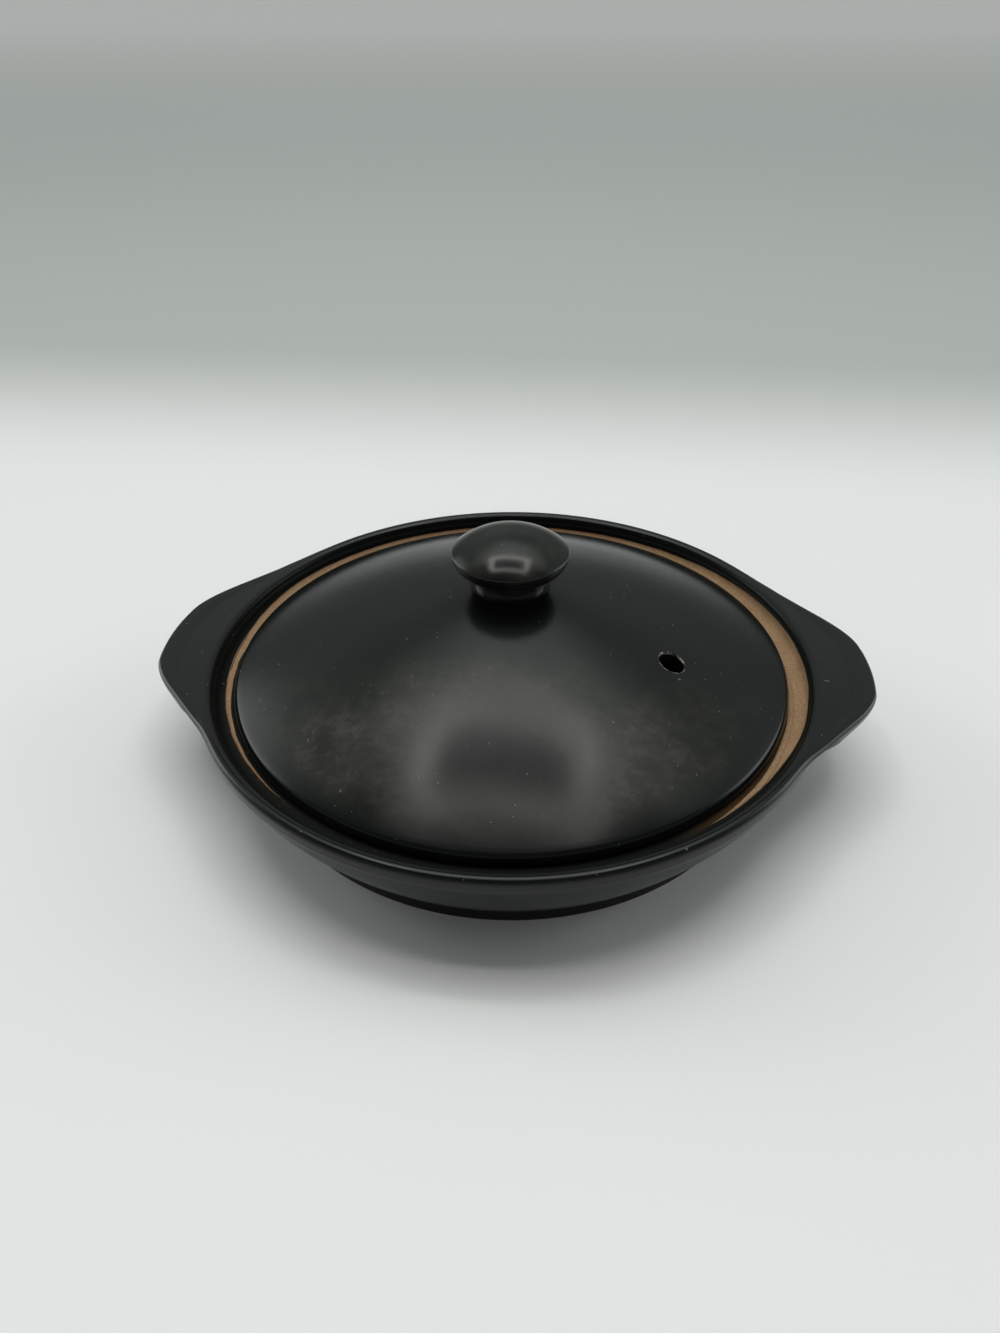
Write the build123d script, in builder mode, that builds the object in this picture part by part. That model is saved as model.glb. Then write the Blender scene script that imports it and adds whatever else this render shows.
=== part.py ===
from build123d import *
import os
from math import acos, atan2, cos, hypot, sin

# A shallow Chinese sand pot: a round clay casserole with two flat lugs flowing out of its rim,
# and a low domed lid with a mushroom knob and one steam hole, seated on a ledge inside the rim.
# Millimetres. The origin is on the table under the middle of the pot, +Z is up and the lugs
# lie along X.

# Pot: foot and wall
foot_radius = 97.5
foot_band_height = 6.0
foot_step = 1.4
foot_step_rise = 0.7
foot_ring_width = 11.0
foot_recess = 2.6
foot_edge_round = 1.2
wall_bulge = 2.0
floor_height = 8.6
floor_corner_inset = 3.4
floor_round = 18.0

# Pot: rim and the ledge that carries the lid
rim_height = 42.0
rim_inner_radius = 113.5
rim_width = 4.7
rim_side_height = 4.5
lip_outer_round = 2.1
lip_inner_round = 2.0
ledge_depth = 7.7
ledge_lean = 1.8
ledge_width = 12.7
ledge_corner_round = 1.5
ledge_edge_round = 1.0

# Lugs, one at each end
lug_reach = 16.0
lug_tip_width = 45.8
lug_tip_crown = 2.5
lug_corner_round = 24.0
lug_root_dip = 1.2
lug_root_sink = 0.4
lug_root_round = 100.0
lug_top_drop = 0.4
lug_top_round = 1.6
lug_edge_land = 0.5
lug_side_lean = 12.0
lug_tip_thickness = 3.2
lug_root_thickness = 8.0
lug_under_hollow = 1.0

# Lid
lid_side_play = 6.2
lid_rise = 39.7
lid_edge_height = 4.1
lid_wall = 6.2
lid_dome_radius = 320.0
lid_foot_width = 7.0
lid_foot_height = 2.0
lid_edge_round = 3.6
lid_foot_round = 1.4
lid_inner_round = 1.0
lid_inner_crown_round = 60.0
steam_hole_diameter = 8.8
steam_hole_reach = 63.9
steam_hole_angle = -21.3
steam_hole_round = 0.7

# Knob
knob_radius = 21.5
knob_neck_radius = 12.2
knob_collar = 2.0
knob_neck_height = 4.0
knob_under_height = 8.0
knob_crown = 8.0
knob_ridge_round = 0.9

# Cuts run past the faces that they open by the overrun, and the slack is for comparing places
overrun = 5.0
slack = 0.001

# Pot places worked out from the sizes above
rim_outer_radius = rim_inner_radius + rim_width
rim_side_foot = rim_height - rim_side_height
foot_recess_radius = foot_radius - foot_ring_width
wall_foot_radius = foot_radius + foot_step
wall_foot_height = foot_band_height + foot_step_rise
ledge_height = rim_height - ledge_depth
gallery_radius = rim_inner_radius - ledge_lean
ledge_inner_radius = gallery_radius - ledge_width
floor_corner_radius = min(wall_foot_radius, ledge_inner_radius) - floor_corner_inset

# Lug places: each flank touches a circle just inside the rim, and its root round runs into a
# second circle there, so the lug meets the rim at a clear angle
lug_top_height = rim_height - lug_top_drop
lug_edge = lug_top_round + lug_edge_land
lug_plate_height = lug_top_height - lug_edge
lug_root_height = rim_height - lug_root_thickness
lug_tip = rim_outer_radius + lug_reach
lug_past_tip = lug_tip + lug_tip_crown + overrun
lug_tip_half = lug_tip_width / 2
lug_tangent_radius = rim_outer_radius - lug_root_dip
lug_flank_turn = acos(lug_tangent_radius / hypot(lug_tip, lug_tip_half))
lug_flank_angle = atan2(lug_tip_half, lug_tip) + lug_flank_turn
lug_root_x = lug_tangent_radius * cos(lug_flank_angle)
lug_root_half = lug_tangent_radius * sin(lug_flank_angle)
lug_root_radius = rim_outer_radius - lug_root_sink
lug_root_turn = acos((lug_tangent_radius + lug_root_round) / (lug_root_radius + lug_root_round))
lug_span = 2 * (lug_root_radius * sin(lug_flank_angle - lug_root_turn) - lug_root_dip)

# Lid and knob places
lid_radius = gallery_radius - lid_side_play
lid_apex = ledge_height + lid_rise
lid_edge_top = ledge_height + lid_edge_height
lid_foot_inner_radius = lid_radius - lid_foot_width
lid_foot_top = ledge_height + lid_foot_height
lid_inner_apex = lid_apex - lid_wall
lid_inner_dome_radius = lid_dome_radius - lid_wall
knob_seat_radius = knob_neck_radius + knob_collar
knob_under_foot = lid_apex + knob_neck_height
knob_ridge_height = knob_under_foot + knob_under_height
knob_top = knob_ridge_height + knob_crown
knob_crown_radius = (knob_radius**2 + knob_crown**2) / (2 * knob_crown)


def lug_outline(side):
    """Draw one lug in plan on side -1 or 1: two straight flanks and a slightly bowed tip."""
    near_flank = Line((side * lug_root_x, -lug_root_half), (side * lug_tip, -lug_tip_half))
    tip = ThreePointArc(
        near_flank @ 1, (side * (lug_tip + lug_tip_crown), 0), (side * lug_tip, lug_tip_half)
    )
    far_flank = Line(tip @ 1, (side * lug_root_x, lug_root_half))
    Line(far_flank @ 1, near_flank @ 0)


def bowl_outline():
    """Draw half the bowl's outside: foot ring, foot band, step, bulged wall and upright rim."""
    recess = Polyline((0, foot_recess), (foot_recess_radius, foot_recess), (foot_recess_radius, 0))
    foot = Line(recess @ 1, (foot_radius, 0))
    band = Line(foot @ 1, (foot_radius, foot_band_height))
    step = Line(band @ 1, (wall_foot_radius, wall_foot_height))
    wall = SagittaArc(step @ 1, (rim_outer_radius, rim_side_foot), -wall_bulge)
    upright = Line(wall @ 1, (rim_outer_radius, rim_height))
    Polyline(upright @ 1, (0, rim_height), (0, foot_recess))


def round_corners(corners):
    """Round sketch corners, each given as its X, its height and the radius of its round."""
    for corner_x, corner_height, corner_round in corners:
        fillet(vertices().sort_by_distance((corner_x, corner_height))[0], corner_round)


# The bowl's outside, which is turned in one piece with its lip
with BuildPart() as bowl_outside:
    with BuildSketch(Plane.XZ):
        with BuildLine():
            bowl_outline()
        make_face()
        fillet(vertices().group_by(Axis.Y)[0], foot_edge_round)
        round_corners([(rim_outer_radius, rim_height, lip_outer_round)])
    revolve(axis=Axis.Z)

# Plan of both lugs, their tip corners and their concave roots rounded
with BuildSketch(Plane.XY) as lug_plan:
    Circle(lug_root_radius)
    for side in (-1, 1):
        with BuildLine():
            lug_outline(side)
        make_face()
    tip_corners = vertices().filter_by(lambda v: abs(abs(v.X) - lug_tip) < slack)
    fillet(tip_corners, lug_corner_round)
    root_corners = vertices().filter_by(lambda v: abs(hypot(v.X, v.Y) - lug_root_radius) < slack)
    fillet(root_corners, lug_root_round)

# Both lugs, cut to the bowl that they are luted on to: a plate with a rounded top edge, and below
# it sides that lean in and an underside that thickens from the tip to the wall along a hollow curve
with BuildPart() as both_lugs:
    with BuildSketch(Plane.XY.offset(lug_plate_height)):
        add(lug_plan.sketch)
    extrude(amount=lug_edge)
    fillet(both_lugs.edges().group_by(Axis.Z)[-1], lug_top_round)
    with BuildSketch(Plane.XY.offset(lug_plate_height)):
        add(lug_plan.sketch)
        with Locations((-lug_tip, 0), (lug_tip, 0)):
            Rectangle(lug_tip, lug_span, mode=Mode.INTERSECT)
    extrude(amount=lug_root_height - lug_plate_height - overrun, taper=lug_side_lean)
    with BuildSketch(Plane.XZ):
        with BuildLine():
            under = SagittaArc(
                (lug_past_tip, rim_height - lug_tip_thickness),
                (rim_outer_radius, lug_root_height),
                -lug_under_hollow,
            )
            Polyline(
                under @ 1,
                (0, lug_root_height),
                (0, rim_height),
                (lug_past_tip, rim_height),
                under @ 0,
            )
        make_face()
    revolve(axis=Axis.Z, mode=Mode.INTERSECT)
    add(bowl_outside.part, mode=Mode.SUBTRACT)

with BuildPart() as left_lug:
    add(both_lugs.part)
    split(bisect_by=Plane.YZ, keep=Keep.BOTTOM)

with BuildPart() as right_lug:
    add(both_lugs.part)
    split(bisect_by=Plane.YZ, keep=Keep.TOP)

# The bowl: its hollow, the ledge for the lid and the gallery wall round it are cut in one turn
with BuildPart() as pot_body:
    add(bowl_outside.part)
    with BuildSketch(Plane.XZ):
        with BuildLine():
            floor = Line((0, floor_height), (floor_corner_radius, floor_height))
            wall = Line(floor @ 1, (ledge_inner_radius, ledge_height))
            ledge = Line(wall @ 1, (gallery_radius, ledge_height))
            gallery = Line(ledge @ 1, (rim_inner_radius, rim_height))
            Polyline(
                gallery @ 1,
                (rim_outer_radius + overrun, rim_height),
                (rim_outer_radius + overrun, rim_height + overrun),
                (0, rim_height + overrun),
                floor @ 0,
            )
        make_face()
        round_corners(
            [
                (floor_corner_radius, floor_height, floor_round),
                (ledge_inner_radius, ledge_height, ledge_edge_round),
                (gallery_radius, ledge_height, ledge_corner_round),
                (rim_inner_radius, rim_height, lip_inner_round),
            ]
        )
    revolve(axis=Axis.Z, mode=Mode.SUBTRACT)

# The lid: a low dome with a flat for the knob, a rounded edge and a foot ring on the ledge
with BuildPart() as lid_dome:
    with BuildSketch(Plane.XZ):
        with BuildLine():
            seat = Line((0, lid_apex), (knob_seat_radius, lid_apex))
            outside = RadiusArc(seat @ 1, (lid_radius, lid_edge_top), lid_dome_radius)
            edge = Line(outside @ 1, (lid_radius, ledge_height))
            foot = Line(edge @ 1, (lid_foot_inner_radius, ledge_height))
            heel = Line(foot @ 1, (lid_foot_inner_radius, lid_foot_top))
            inside = RadiusArc(heel @ 1, (knob_seat_radius, lid_inner_apex), -lid_inner_dome_radius)
            Polyline(inside @ 1, (0, lid_inner_apex), seat @ 0)
        make_face()
        round_corners(
            [
                (lid_radius, lid_edge_top, lid_edge_round),
                (lid_radius, ledge_height, lid_foot_round),
                (lid_foot_inner_radius, lid_foot_top, lid_inner_round),
                (knob_seat_radius, lid_inner_apex, lid_inner_crown_round),
            ]
        )
    revolve(axis=Axis.Z)
    with BuildSketch(Plane.XY.offset(ledge_height)):
        with PolarLocations(steam_hole_reach, 1, start_angle=steam_hole_angle):
            Circle(steam_hole_diameter / 2)
    extrude(amount=lid_rise + overrun, mode=Mode.SUBTRACT)
    hole_mouths = lid_dome.edges(Select.LAST).filter_by(GeomType.LINE, reverse=True)
    fillet(hole_mouths, steam_hole_round)

# The knob: a mushroom cap on a short neck, luted to the flat on top of the lid
with BuildPart() as lid_knob:
    with BuildSketch(Plane.XZ):
        with BuildLine():
            root = Line((0, lid_apex), (knob_seat_radius, lid_apex))
            collar = RadiusArc(root @ 1, (knob_neck_radius, lid_apex + knob_collar), knob_collar)
            neck = Line(collar @ 1, (knob_neck_radius, knob_under_foot))
            EllipticalCenterArc(
                (knob_neck_radius, knob_ridge_height),
                knob_radius - knob_neck_radius,
                knob_under_height,
                start_angle=-90,
                arc_size=90,
            )
            crown = RadiusArc((knob_radius, knob_ridge_height), (0, knob_top), -knob_crown_radius)
            Line(crown @ 1, root @ 0)
        make_face()
        round_corners([(knob_radius, knob_ridge_height, knob_ridge_round)])
    revolve(axis=Axis.Z)

pot_body.part.label = "pot_body"
left_lug.part.label = "left_lug"
right_lug.part.label = "right_lug"
lid_dome.part.label = "lid_dome"
lid_knob.part.label = "lid_knob"

os.makedirs("parts", exist_ok=True)
export_step(pot_body.part, "parts/pot_body.step")
export_step(left_lug.part, "parts/left_lug.step")
export_step(right_lug.part, "parts/right_lug.step")
export_step(lid_dome.part, "parts/lid_dome.step")
export_step(lid_knob.part, "parts/lid_knob.step")
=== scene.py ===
from math import acos, atan2, cos, hypot, pi, radians, sin, sqrt, tau

import bpy
from mathutils import Matrix, Vector


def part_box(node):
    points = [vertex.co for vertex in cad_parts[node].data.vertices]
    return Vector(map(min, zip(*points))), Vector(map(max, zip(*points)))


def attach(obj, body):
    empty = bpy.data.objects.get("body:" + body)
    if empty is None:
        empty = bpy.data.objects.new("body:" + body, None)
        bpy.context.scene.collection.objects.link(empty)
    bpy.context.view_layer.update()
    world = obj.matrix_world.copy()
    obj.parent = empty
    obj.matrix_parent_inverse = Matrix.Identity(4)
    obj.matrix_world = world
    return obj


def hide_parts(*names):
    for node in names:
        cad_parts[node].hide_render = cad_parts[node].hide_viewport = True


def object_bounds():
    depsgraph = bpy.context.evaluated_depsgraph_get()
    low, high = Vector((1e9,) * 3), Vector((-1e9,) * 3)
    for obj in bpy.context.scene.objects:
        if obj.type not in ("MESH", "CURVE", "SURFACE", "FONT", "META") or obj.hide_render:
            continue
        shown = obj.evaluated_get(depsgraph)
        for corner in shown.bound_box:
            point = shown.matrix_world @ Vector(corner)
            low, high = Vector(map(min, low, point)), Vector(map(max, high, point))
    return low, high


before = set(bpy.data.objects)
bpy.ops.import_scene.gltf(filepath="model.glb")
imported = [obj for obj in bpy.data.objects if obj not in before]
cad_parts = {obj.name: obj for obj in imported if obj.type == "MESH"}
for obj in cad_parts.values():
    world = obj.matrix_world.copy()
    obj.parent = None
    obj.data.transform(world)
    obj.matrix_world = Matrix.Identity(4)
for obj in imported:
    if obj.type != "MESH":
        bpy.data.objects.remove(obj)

bl_info = {
    "name": "Sand Pot",
    "version": (1, 0, 0),
    "blender": (4, 5, 0),
    "location": "3D View > Sidebar > Sand Pot",
    "description": "A shallow lidded clay pot in black glaze, on a pale studio floor",
    "category": "Add Mesh",
}

CAD_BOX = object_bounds()
POT_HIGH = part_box("pot_body")[1]
LID_LOW, LID_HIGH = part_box("lid_dome")
KNOB_LOW, KNOB_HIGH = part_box("lid_knob")

LID_SEAT = LID_LOW[2]
RIM_HEIGHT = POT_HIGH[2]
RIM_RADIUS = POT_HIGH[0]
LUG_TIP = CAD_BOX[1][0]

# Steps round in which each piece is spun
POT_STEPS = 400
LID_STEPS = 360
KNOB_STEPS = 192
# Size of the plane that each section starts from, and how close two points are that become one
SEED_SIZE = 0.01
MERGE_GAP = 0.000004
# An edge that bends by more than this stays sharp
SHARP_TURN = radians(40)
KNOB_SHARP_TURN = radians(60)

# Refraction of the floor and of each coat of glaze. A low one keeps the pale floor out of the black
FLOOR_SHINE = 1.3
POT_SHINE = 1.36
GALLERY_SHINE = 1.17
LID_SHINE = 1.34
KNOB_SHINE = 1.36
NECK_SHINE = 1.19

# The camera of the photograph, with its turn in degrees about the pot's Z, its own X and its sight
CAMERA_PLACE = (0.0303, -0.3176, 0.2647)
CAMERA_TURN = (6.2, 54.19, -0.56)
CAMERA_LENS = 27.15
CAMERA_SENSOR = 36.0
CAMERA_NEAR = 0.01

# The ceiling lamps, each with its place in X and Y and with its width and depth
LAMPS = (
    ("lamp_rear", (-0.04, 0.28), (1.16, 0.11)),
    ("lamp_front", (-0.04, -0.185), (1.06, 0.10)),
    ("lamp_left", (-0.55, 0.04), (0.17, 0.35)),
    ("lamp_right", (0.47, 0.04), (0.15, 0.35)),
)
LAMP_COLOUR = (1.0, 0.99, 0.94)

# Bands of the sky, each from one value of a direction's X, Y or Z to another, with its strength at
# either. The light ahead of the camera is told from the light behind it, and the slant dims one side
SKY_LOW = (0.15, 0.55, 0.22, 0.46)
SKY_HIGH = (0.69, 0.95, 0.0, 1.6)
SKY_TOWARD = (0.35, 0.60, 0.31, 0.08)
SKY_AHEAD = (-0.02, 0.22)
SKY_BESIDE = (0.70, 0.86, 0.0, 2.6)
SKY_SLANT = (-0.9, 0.9, 1.06, 0.94)
SKY_COLOUR = (0.94, 1.0, 0.97)
BEHIND_COLOUR = (0.40, 0.41, 0.405)

FLOOR_SIZE = 24
FLOOR_ROUGHNESS = 0.62
# Distances behind the pot over which the floor turns grey, a painted shade standing in for a backdrop
# lit less, and then pale again, partly a painted sheen of the low sky at grazing angles
FLOOR_SHADE_SPAN = (0.22, 0.48)
FLOOR_SHEEN_SPAN = (1.0, 4.5)


def length(name, description, default):
    """A size in metres that a user may change."""
    return bpy.props.FloatProperty(
        name=name, description=description, default=default, min=0, unit="LENGTH", precision=4,
    )


def tint(name, description, default):
    """A colour that a user may change."""
    return bpy.props.FloatVectorProperty(
        name=name, description=description, default=default, subtype="COLOR", size=3, min=0, max=1,
    )


class PotSizes(bpy.types.PropertyGroup):
    """The sizes of the bowl and its lugs."""

    foot_radius: length("Foot radius", "Outside of the foot", 0.0975)
    foot_recess: length("Foot recess", "Depth of the hollow under the foot", 0.0026)
    foot_ring_width: length("Foot ring width", "Width of the ring that the pot stands on", 0.011)
    foot_band: length("Foot band", "Height of the upright band at the foot", 0.006)
    foot_step: length("Foot step", "How far the wall steps out over the foot", 0.0014)
    wall_bulge: length("Wall bulge", "How far the wall swells out of a straight line", 0.002)
    wall_top: length("Wall top", "Height at which the wall turns upright", 0.0375)
    rim_width: length("Rim width", "Width of the rim's top", 0.0047)
    lip_outer_round: length("Outer lip round", "Round of the rim's outer edge", 0.0021)
    lip_inner_round: length("Inner lip round", "Round of the rim's inner edge", 0.0031)
    ledge_lean: length("Ledge lean", "How far the wall over the ledge leans out", 0.0018)
    ledge_width: length("Ledge width", "Width of the ledge for the lid", 0.0127)
    ledge_corner: length("Ledge corner", "Round between the ledge and the wall over it", 0.0034)
    floor_height: length("Floor height", "Height of the floor inside", 0.0086)
    floor_radius: length("Floor radius", "Where the inner wall would meet the floor", 0.0955)
    floor_round: length("Floor round", "Round between the floor and the inner wall", 0.018)
    lug_crown: length("Lug crown", "How far the lug's tip bows out", 0.0032)
    lug_near_half_right: length("Right lug near half", "Half width of the right lug, camera's side", 0.0216)
    lug_near_half_left: length("Left lug near half", "Half width of the left lug, camera's side", 0.0235)
    lug_far_half_right: length("Right lug far half", "Half width of the right lug, far side", 0.0253)
    lug_far_half_left: length("Left lug far half", "Half width of the left lug, far side", 0.0272)
    lug_near_waist_right: length("Right lug near waist", "How sharply its near side meets the rim", 0.0026)
    lug_near_waist_left: length("Left lug near waist", "How sharply its near side meets the rim", 0.0022)
    lug_far_waist: length("Lug far waist", "How sharply the far sides meet the rim", 0.0007)
    lug_corner: length("Lug corner", "How soft the lug's corners are", 0.0050)
    lug_root: length("Lug root", "How softly the lug runs out of the rim", 0.0015)
    lug_drop: length("Lug drop", "How far the lug's top lies under the rim", 0.0007)
    lug_dish: length("Lug dish", "How hollow the lug's top is", 0.0005)
    lug_top_round: length("Lug edge round", "Round of the lug's upper edge", 0.0016)
    lug_root_thickness: length("Lug root thickness", "Thickness of the lug at the wall", 0.008)
    lug_tip_thickness: length("Lug tip thickness", "Thickness of the lug at its tip", 0.0032)


class LidSizes(bpy.types.PropertyGroup):
    """The sizes of the lid and its knob."""

    dome_radius: length("Dome radius", "Radius of the lid's outside", 0.360)
    crown_sink: length("Crown sink", "How far the lid's top lies under its highest possible place", 0.0024)
    wall: length("Lid wall", "Thickness of the lid", 0.0062)
    edge_height: length("Lid edge", "Height of the lid's upright edge", 0.0041)
    edge_round: length("Lid edge round", "Round of the lid's upper edge", 0.0036)
    foot_round: length("Lid foot round", "Round of the lid's lower edge", 0.0014)
    foot_width: length("Lid foot width", "Width of the ring that the lid stands on", 0.007)
    foot_height: length("Lid foot height", "Height of that ring", 0.002)
    seat_radius: length("Knob seat", "Radius of the flat under the knob", 0.0142)
    hole_radius: length("Steam hole radius", "Radius of the steam hole", 0.0044)
    hole_reach: length("Steam hole reach", "Distance of the steam hole from the middle", 0.0639)
    hole_turn: bpy.props.FloatProperty(
        name="Steam hole turn", description="Direction of the steam hole from the middle",
        subtype="ANGLE", default=radians(-21.3),
    )
    neck_radius: length("Neck radius", "Radius of the knob's neck", 0.0122)
    neck_height: length("Neck height", "Height of the knob's neck", 0.004)
    collar: length("Collar", "Round between the neck and the lid", 0.0026)
    cap_under: length("Cap underside", "Height of the cap's lower half", 0.008)
    ridge_round: length("Ridge round", "Round of the cap's widest edge", 0.0009)


class StudioLook(bpy.types.PropertyGroup):
    """The floor and the light."""

    floor_colour: tint("Floor", "Colour of the floor round the pot", (0.935, 0.925, 0.945))
    # Painted shade: the floor far behind the pot is greyed to stand in for a backdrop lit less
    far_shade_colour: tint("Far floor", "Colour of the floor far behind the pot", (0.52, 0.54, 0.53))
    # Partly painted sheen: the floor at the back is paler to stand in for its reflection of the low sky
    deep_and_sheen_colour: tint("Deepest floor", "Colour of the floor at the back", (0.74, 0.72, 0.72))
    sky_level: bpy.props.FloatProperty(
        name="Sky level", description="Strength of the soft light from all round",
        min=0, default=1.0,
    )
    lamp_radiance: bpy.props.FloatProperty(
        name="Lamp radiance", description="Brightness of the face of each ceiling lamp",
        min=0, default=6.6,
    )
    lamp_height: bpy.props.FloatProperty(
        name="Lamp height", description="Height of the ceiling lamps over the floor",
        unit="LENGTH", min=0, default=1.5,
    )


class GlazeLook(bpy.types.PropertyGroup):
    """The black glaze and the bare clay."""

    glaze_colour: tint("Glaze", "Colour of the black glaze", (0.0045, 0.0058, 0.0052))
    # On the lid this colour is also a painted sheen of the ceiling lamps; on the knob it is smudges only
    smudge_sheen_colour: tint("Smudges", "Colour of the smudges on the lid", (0.050, 0.048, 0.038))
    speck_colour: tint("Specks", "Colour of the fine specks in the glaze", (0.22, 0.21, 0.19))
    chip_colour: tint("Chips", "Colour of the chips round the steam hole", (0.30, 0.27, 0.22))
    clay_colour: tint("Clay", "Colour of the bare fired clay", (0.33, 0.205, 0.115))
    clay_light: tint("Clay grains", "Colour of the paler grains in the clay", (0.44, 0.29, 0.175))
    clay_shade: tint("Clay shade", "Colour of the darker clouds in the clay", (0.26, 0.15, 0.08))
    # A darker line drawn along the clay
    dark_line_colour: tint("Crease", "Colour of the crease along the clay", (0.17, 0.10, 0.05))
    scorch_colour: tint("Scorch", "Colour of the clay beside the glaze", (0.17, 0.085, 0.04))
    amber_colour: tint("Thin glaze", "Colour of the glaze where it runs thin", (0.055, 0.030, 0.010))


class NodeBench:
    """Adds nodes to one node tree and links them."""

    def __init__(self, tree):
        self.tree = tree
        tree.nodes.clear()

    def add(self, kind, **settings):
        node = self.tree.nodes.new(kind)
        for name, value in settings.items():
            setattr(node, name, value)
        return node

    def link(self, source, target):
        if isinstance(source, bpy.types.NodeSocket):
            self.tree.links.new(source, target)
        elif isinstance(source, (int, float)):
            target.default_value = source
        else:
            target.default_value = tuple(source[:3]) + (1.0,)

    def math(self, operation, first, second=0.0, third=0.0):
        node = self.add("ShaderNodeMath", operation=operation)
        for place, value in enumerate((first, second, third)):
            self.link(value, node.inputs[place])
        return node.outputs[0]

    def product(self, first, *others):
        for other in others:
            first = self.math("MULTIPLY", first, other)
        return first

    def total(self, first, *others):
        for other in others:
            first = self.math("ADD", first, other)
        return first

    def minus(self, first, second):
        return self.math("SUBTRACT", first, second)

    def apart(self, first, second):
        """How far one value is from another, either way."""
        return self.math("ABSOLUTE", self.minus(first, second))

    def distance(self, across, along):
        """The length of a way that goes so far across and so far along."""
        squares = self.total(self.product(across, across), self.product(along, along))
        return self.math("SQRT", squares)

    def position(self):
        return self.add("ShaderNodeTexCoord").outputs["Object"]

    def parts(self, vector):
        node = self.add("ShaderNodeSeparateXYZ")
        self.link(vector, node.inputs[0])
        return node.outputs

    def noise(self, vector, scale, detail=2.0, roughness=0.5, stretch=None):
        if stretch:
            node = self.add("ShaderNodeMapping")
            node.inputs["Scale"].default_value = stretch
            self.link(vector, node.inputs["Vector"])
            vector = node.outputs[0]
        node = self.add("ShaderNodeTexNoise")
        self.link(vector, node.inputs["Vector"])
        node.inputs["Scale"].default_value = scale
        node.inputs["Detail"].default_value = detail
        node.inputs["Roughness"].default_value = roughness
        return node.outputs["Fac"]

    def span(self, value, low, high, to_low=0.0, to_high=1.0, smooth=True):
        """Turn a value between low and high into one between to_low and to_high."""
        node = self.add("ShaderNodeMapRange", clamp=True,
                        interpolation_type="SMOOTHSTEP" if smooth else "LINEAR")
        self.link(value, node.inputs["Value"])
        self.link(low, node.inputs["From Min"])
        self.link(high, node.inputs["From Max"])
        self.link(to_low, node.inputs["To Min"])
        self.link(to_high, node.inputs["To Max"])
        return node.outputs[0]

    def stretch(self, value, start, full, still, end):
        """1 from full to still, falling softly to 0 at the start and the end."""
        return self.product(self.span(value, start, full), self.span(value, end, still))

    def mix(self, factor, first, second):
        node = self.add("ShaderNodeMix", data_type="RGBA")
        self.link(factor, node.inputs["Factor"])
        for value, name in ((first, "A"), (second, "B")):
            socket = [s for s in node.inputs if s.name == name and s.type == "RGBA"][0]
            self.link(value, socket)
        return [s for s in node.outputs if s.type == "RGBA"][0]

    def dial(self, turn, stops):
        """A height in metres that changes round the pot, from pairs of degrees and millimetres."""
        share = self.math("ADD", self.math("DIVIDE", turn, tau), 0.5)
        node = self.add("ShaderNodeValToRGB")
        self.link(share, node.inputs[0])
        ramp = node.color_ramp
        ramp.interpolation = "B_SPLINE"
        for _ in stops[2:]:
            ramp.elements.new(0.5)
        for element, (degree, _) in zip(ramp.elements, stops):
            element.position = degree / 360 + 0.5
        for element, (_, level) in zip(ramp.elements, stops):
            element.color = (level / DIAL_SPAN + 0.5,) * 3 + (1.0,)
        return self.math("MULTIPLY_ADD", node.outputs[0], DIAL_SPAN / 1000, -DIAL_SPAN / 2000)

    def bump(self, height):
        """A normal that follows a height in metres."""
        node = self.add("ShaderNodeBump")
        self.link(height, node.inputs["Height"])
        node.inputs["Strength"].default_value = 1.0
        node.inputs["Distance"].default_value = 1.0
        return node.outputs[0]

    def surface(self, colour, roughness, shine, normal=None):
        shader = self.add("ShaderNodeBsdfPrincipled")
        self.link(colour, shader.inputs["Base Color"])
        self.link(roughness, shader.inputs["Roughness"])
        self.link(shine, shader.inputs["IOR"])
        if normal is not None:
            self.link(normal, shader.inputs["Normal"])
        out = self.add("ShaderNodeOutputMaterial")
        self.link(shader.outputs[0], out.inputs["Surface"])


def between(start, end, share):
    """The point that lies a share of the way from start to end."""
    return tuple(a + (b - a) * share for a, b in zip(start, end))


def ease(value, low, high):
    """0 below low, 1 above high, and a soft step between them."""
    share = min(max((value - low) / (high - low), 0.0), 1.0)
    return share * share * (3 - 2 * share)


def line(start, end, count):
    """Points from start up to, but not including, end."""
    return [between(start, end, step / count) for step in range(count)]


def round_corner(before, corner, after, radius, count):
    """Points of a round at a corner between two straight runs."""
    into = Vector((corner[0] - before[0], corner[1] - before[1])).normalized()
    out = Vector((after[0] - corner[0], after[1] - corner[1])).normalized()
    turn = into.angle(out)
    cut = radius * sin(turn / 2) / cos(turn / 2)
    first = Vector(corner) - into * cut
    last = Vector(corner) + out * cut
    inward = (out - into).normalized()
    centre = Vector(corner) + inward * (radius / cos(turn / 2))
    points = []
    for step in range(count + 1):
        spread = sin(turn * (step / count - 0.5)) / sin(turn / 2) / 2 + 0.5
        arm = (first - centre).lerp(last - centre, spread).normalized() * radius
        points.append(tuple(centre + arm))
    return points


def spin_section(name, section, steps):
    """Draw half a section point by point and spin it into a closed form."""
    bpy.ops.object.select_all(action="DESELECT")
    bpy.ops.mesh.primitive_plane_add(size=SEED_SIZE)
    piece = bpy.context.object
    piece.name = name
    bpy.ops.object.mode_set(mode="EDIT")
    bpy.ops.mesh.select_all(action="SELECT")
    bpy.ops.mesh.merge(type="CENTER")
    bpy.ops.transform.translate(value=(section[0][0], 0, section[0][1]))
    for here, there in zip(section, section[1:]):
        step = (there[0] - here[0], 0, there[1] - here[1])
        bpy.ops.mesh.extrude_vertices_move(TRANSFORM_OT_translate={"value": step})
    bpy.ops.mesh.select_all(action="SELECT")
    bpy.ops.mesh.spin(steps=steps, angle=tau, center=(0, 0, 0), axis=(0, 0, 1))
    bpy.ops.mesh.select_all(action="SELECT")
    bpy.ops.mesh.remove_doubles(threshold=MERGE_GAP)
    bpy.ops.mesh.normals_make_consistent(inside=False)
    bpy.ops.object.mode_set(mode="OBJECT")
    return piece


def new_material(name):
    material = bpy.data.materials.new(name)
    material.use_nodes = True
    return material, NodeBench(material.node_tree)


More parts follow.
